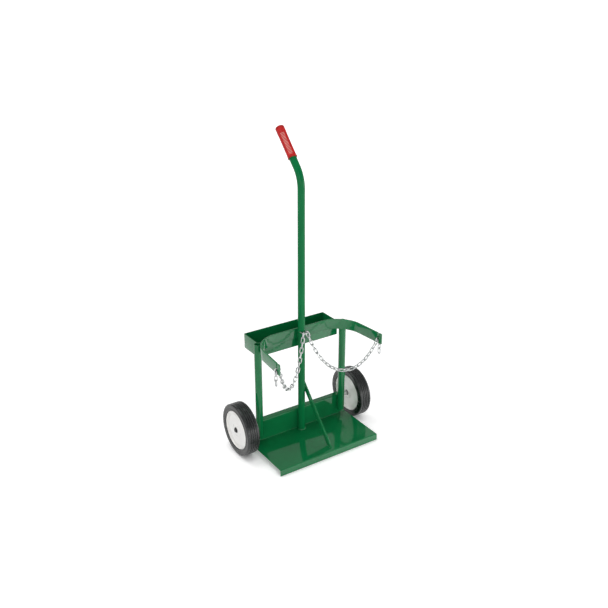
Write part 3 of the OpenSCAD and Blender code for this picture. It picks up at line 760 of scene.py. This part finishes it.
def bead(line, size=1.0, d=weldBead):
    # tube of radius(s) = r * taper(s) * (1 + ripple * |sin(pi s / pitch)|); taper rounds off both ends
    line = np.array(line, float)
    length = np.concatenate([[0], np.cumsum(np.linalg.norm(np.diff(line, axis=0), axis=1))])
    s = np.linspace(0, length[-1], max(int(length[-1] / d["row"]), 8))
    path = np.stack([np.interp(s, length, line[:, k]) for k in range(3)], 1)
    step = unit(np.gradient(path, axis=0))
    across = unit(np.cross(step, [0.37, 0.61, 0.70]))  # no seam runs along this slanting direction
    taper = np.sqrt(np.clip(1 - np.abs(2 * s / s[-1] - 1) ** 10, 0.02, 1))
    r = (size * d["radius"] * taper * (1 + d["ripple"] * np.abs(np.sin(np.pi * s / d["pitch"]))))[:, None]
    return sweep(path, r * across, r * np.cross(step, across), ringOf(1.0, d["sides"]))


def upright(x, y, low, high, size=1.0):
    # straight seam along Z
    return bead([(x, y, low), (x, y, high)], size)


def level(x, seam):
    # straight seam along X, half of it on each side of x
    y = faceY + seam["y"]
    return bead([(x - seam["half"], y, seam["z"]), (x + seam["half"], y, seam["z"])], seam["size"])


def makeWelds(at):
    # arcs round the mast's foot and the loop's legs, straight seams everywhere else
    foot, tack, tubes, strap = at["mastFoot"], at["tack"], at["tubes"], at["strap"]
    braceFoot, braceHead, loop = at["braceFoot"], at["braceHead"], at["loop"]
    footRing = arcOf((0, mastY), foot["radius"], foot["fromDeg"], foot["toDeg"], 60)
    beads = [bead(np.pad(footRing, ((0, 0), (0, 1)), constant_values=foot["z"]), foot["size"]),
             bead([(x, faceY + tack["y"], tack["z"]) for x in tack["x"]])]
    meet, post = np.array([strapBar["bendX"], strapBar["bendY"]]), np.array([postPipe["x"], mastY])
    way = (post - meet) / np.linalg.norm(post - meet)  # from the bend's centre through the post
    leg, turn = (mastLoop["radius"], mastLoop["z"]), loop["halfDeg"]
    legX, legZ = arcOf(leg, loop["radius"], -turn, turn, 14).T
    for s in (-1, 1):
        for k, low in ((-1, tubes["postLow"]), (0, tubes["mastLow"]), (1, tubes["postLow"])):
            beads.append(upright(k * postPipe["x"] + s * tubes["aside"], faceY + tubes["y"], low, tubes["top"]))
        beads.append(upright(s * tubes["aside"], faceY + tubes["y"], strap["low"], strap["mastTop"]))
        aside = s * strap["aside"] * np.array([-way[1], way[0]])
        spotX, spotY = meet + way * (strapBar["bend"] + strap["off"]) + aside
        beads += [upright(k * spotX, spotY, strap["low"], strap["postTop"]) for k in (-1, 1)]
        beads.append(bead([(braceBar["x"] + s * braceFoot["aside"], braceFootY + y, braceFoot["z"])
                           for y in braceFoot["run"]], braceFoot["size"]))
        shift = s * braceHead["aside"]
        top = braceBar["head"] - braceHead["down"] + shift
        beads.append(upright(braceHead["x"], mastY + shift, top - braceHead["long"], top, braceHead["size"]))
        beads += [level(s * x, at[key]) for key in ("tray", "axle") for x in at[key]["x"]]
        beads.append(bead(np.stack([s * legX, 0 * legX + faceY + loop["y"], legZ], 1), loop["size"]))
    return beads


pieceOf("weldBeads", makeWelds(weldAt), "frame", greenWeld)
print("trolley: welds made")

# stage: pale floor that keeps the shadow; its glow is grey levels by distance in metres along a direction, with a
# painted contact shadow where things stand and a painted brighter pool ahead
stageFloor = {"half": 90.0, "sink": 0.0004, "tone": 0.88, "toneDrift": 0.01, "driftScale": 0.7, "lift": 0.48,
              "behind": 0.4, "behindWay": (-0.7, 0.71, 0.0), "behindRun": (0.2, 0.6),
              "ahead": 1.0, "aheadWay": (0.6, -0.8, 0.0), "aheadRun": (0.3, 0.75),
              "far": 0.88, "farRun": (1.0, 3.5), "paintedContactShade": 0.035, "paintedContactShadeSamples": 12}


def makeFloor(d):
    # flat grid: (u, v) scaled to the floor's half width, a hair under the wheels
    u = np.linspace(-1, 1, 5)
    gx, gy = np.meshgrid(u, u, indexing="ij")
    verts, quads = skin(np.stack([gy * d["half"], gx * d["half"], 0 * gx - d["sink"]], 2), wrapV=False)[:2]
    mesh = bpy.data.meshes.new("studioFloor")
    mesh.from_pydata(verts.tolist(), [], quads.tolist())
    obj = bpy.data.objects.new("studioFloor", mesh)
    scene.collection.objects.link(obj)
    f = Finish("studioFloor")
    camera, glossy, through = (f.make("ShaderNodeLightPath", {}, {}, "Is %s Ray" % kind)
                               for kind in ("Camera", "Glossy", "Transmission"))
    seen = (camera + glossy + through) > 0.5
    glow = grey(d["lift"])
    # painted light: a darker stretch of glow behind and a brighter pool ahead, seen by the camera and in
    # reflections
    for key in ("behind", "ahead"):  # greyer behind, white towards the front
        glow = f.blend(f.dot(d[key + "Way"]).band(*d[key + "Run"]), glow, grey(d[key]))
    glow = f.blend(f.vector("LENGTH", f.coords, out="Value").band(*d["farRun"]), glow, grey(d["far"]))
    # painted contact shadow: ambient occlusion darkens the floor's glow where things stand
    paintedContactShade = f.make("ShaderNodeAmbientOcclusion", {"samples": d["paintedContactShadeSamples"]}, {"Distance": d["paintedContactShade"]}, "AO")
    glow = f.blend(paintedContactShade, grey(0.0), glow)  # darker where things stand
    tone = f.blend(f.noise(d["driftScale"]), grey(d["tone"]), grey(d["tone"] + d["toneDrift"]))
    mesh.materials.append(f.dress({"Base Color": tone, "Roughness": 0.9, "Specular IOR Level": 0.1,
                                   "Emission Color": f.blend(seen, grey(0.0), glow), "Emission Strength": 1.0}))


# surround: grey levels by height of the direction, one set in front on the right, one at the back
studioRound = {"strength": 0.9, "frontWay": (0.5, -0.86, 0.0), "frontRun": (-0.3, 0.4),
               "front": ((0, 2.8), (0.14, 2.8), (0.3, 0.25), (0.72, 0.25), (0.88, 0.6), (1, 0.6)),
               "back": ((0, 1.1), (0.1, 1.1), (0.2, 0.58), (0.72, 0.45), (0.88, 0.6), (1, 0.6))}


def makeSurround(d):
    # colour = back(height) blended to front(height) along frontWay
    f = Finish("studioSurround", True)
    front, back = (f.make("ShaderNodeValToRGB", {"stops": [(z, grey(v)) for z, v in d[key]]}, {0: f.axis("Z")})
                   for key in ("front", "back"))
    inFront = f.dot(d["frontWay"]).band(*d["frontRun"])
    scene.world = f.dress({"Color": f.blend(inFront, back, front), "Strength": d["strength"]})


# lamps: place, aim, width in metres and power in watts
lampSet = {"topLamp": ((-0.8, 0.9, 3.6), (0, 0, 0.45), 1.8, 36),
           "keyLamp": ((-2.4, -2.5, 2.4), (0, 0, 0.45), 1.8, 20),
           "sideLamp": ((2.6, -1.2, 0.6), (0, 0, 0.3), 1.2, 20)}


def softLamp(name, at, aim, size, power):
    # round area lamp, tipped and turned so that it faces its aim
    lamp = bpy.data.lights.new(name, "AREA")
    lamp.shape, lamp.size, lamp.energy = "DISK", size, power
    obj = bpy.data.objects.new(name, lamp)
    scene.collection.objects.link(obj)
    obj.location = at
    way = np.array(aim) - np.array(at)
    obj.rotation_euler = (math.acos(-way[2] / np.linalg.norm(way)), 0, math.atan2(way[1], way[0]) - math.pi / 2)


makeFloor(stageFloor)
makeSurround(studioRound)
for name, lamp in lampSet.items():
    softLamp(name, *lamp)

# camera from the photograph's fit: lens and square frame in millimetres, turned and tipped in degrees
viewCamera = {"at": (-1.4586, -2.1921, 1.7057), "tipDeg": 23.477, "turnDeg": 33.539,
              "lens": 46.995, "sensor": 36.0}
camera = bpy.data.cameras.new("photoCamera")
camera.sensor_width, camera.lens = viewCamera["sensor"], viewCamera["lens"]
cameraObject = bpy.data.objects.new("photoCamera", camera)
scene.collection.objects.link(cameraObject)
cameraObject.location = viewCamera["at"]
cameraObject.rotation_euler = (math.radians(90 - viewCamera["tipDeg"]), 0, -math.radians(viewCamera["turnDeg"]))
scene.camera = cameraObject
scene.view_settings.view_transform = "Standard"
print("trolley: stage, lamps and camera set")
